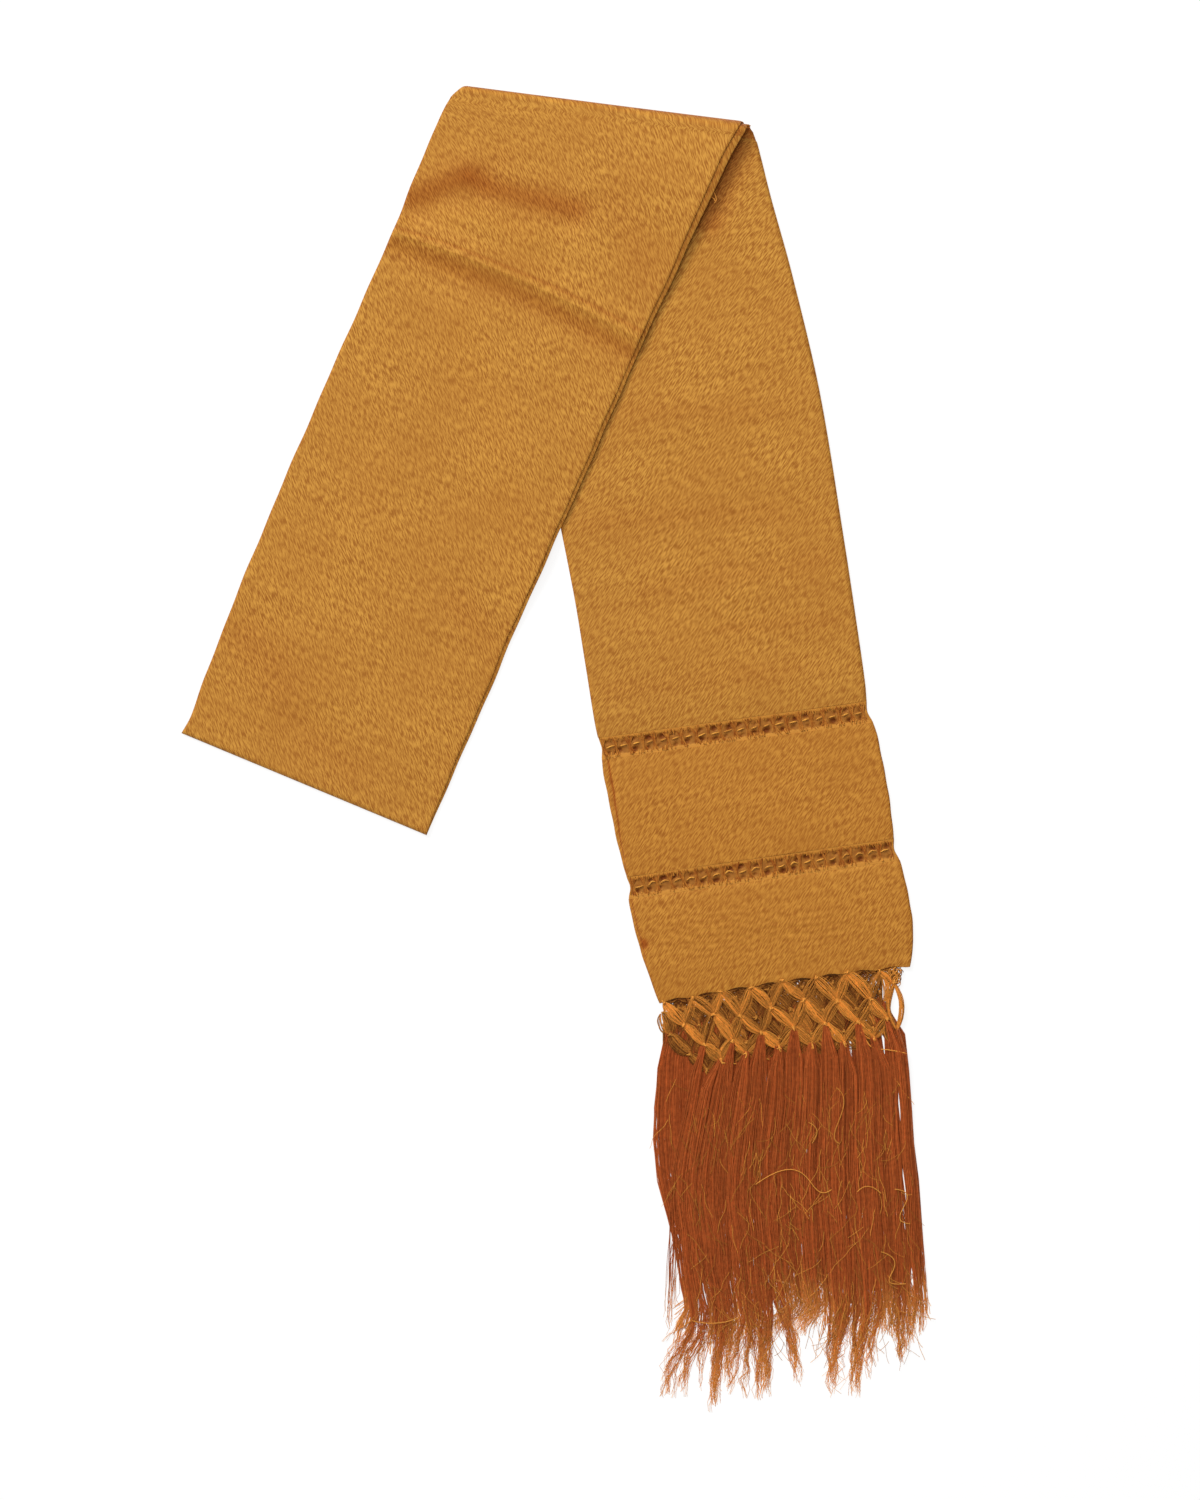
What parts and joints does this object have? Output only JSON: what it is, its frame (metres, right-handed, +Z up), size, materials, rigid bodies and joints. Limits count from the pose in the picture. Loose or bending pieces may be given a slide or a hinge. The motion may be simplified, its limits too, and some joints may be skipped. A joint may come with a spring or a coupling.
{
  "type": "rebozo shawl",
  "caption": "Silk shawl folded into a band and laid flat as an upside-down V, with openwork rows, a knotted net and a long fringe at its end.",
  "frame": {"origin": "centre of the footprint, on the surface that the shawl lies on", "axes": "+Z up from the surface, +Y from the fringe towards the fold-over, +X towards the fringed arm"},
  "size_m": [0.5355, 0.951, 0.0154],
  "materials": {
    "silk": "satin gold-ochre silk",
    "openwork": "drawn and hemstitched silk",
    "net": "flat bundles of floss silk",
    "fringe": "loose silk threads"
  },
  "bodies": {
    "root": {"upper_stretch": "silk", "top_turn": "silk", "lower_stretch": "silk", "openwork_row_1": "openwork", "middle_band": "silk", "openwork_row_2": "openwork", "end_band": "silk", "net_upper": "net", "net_lower": "net", "fringe_upper": "fringe", "fringe_lower": "fringe"}
  },
  "joints": []
}
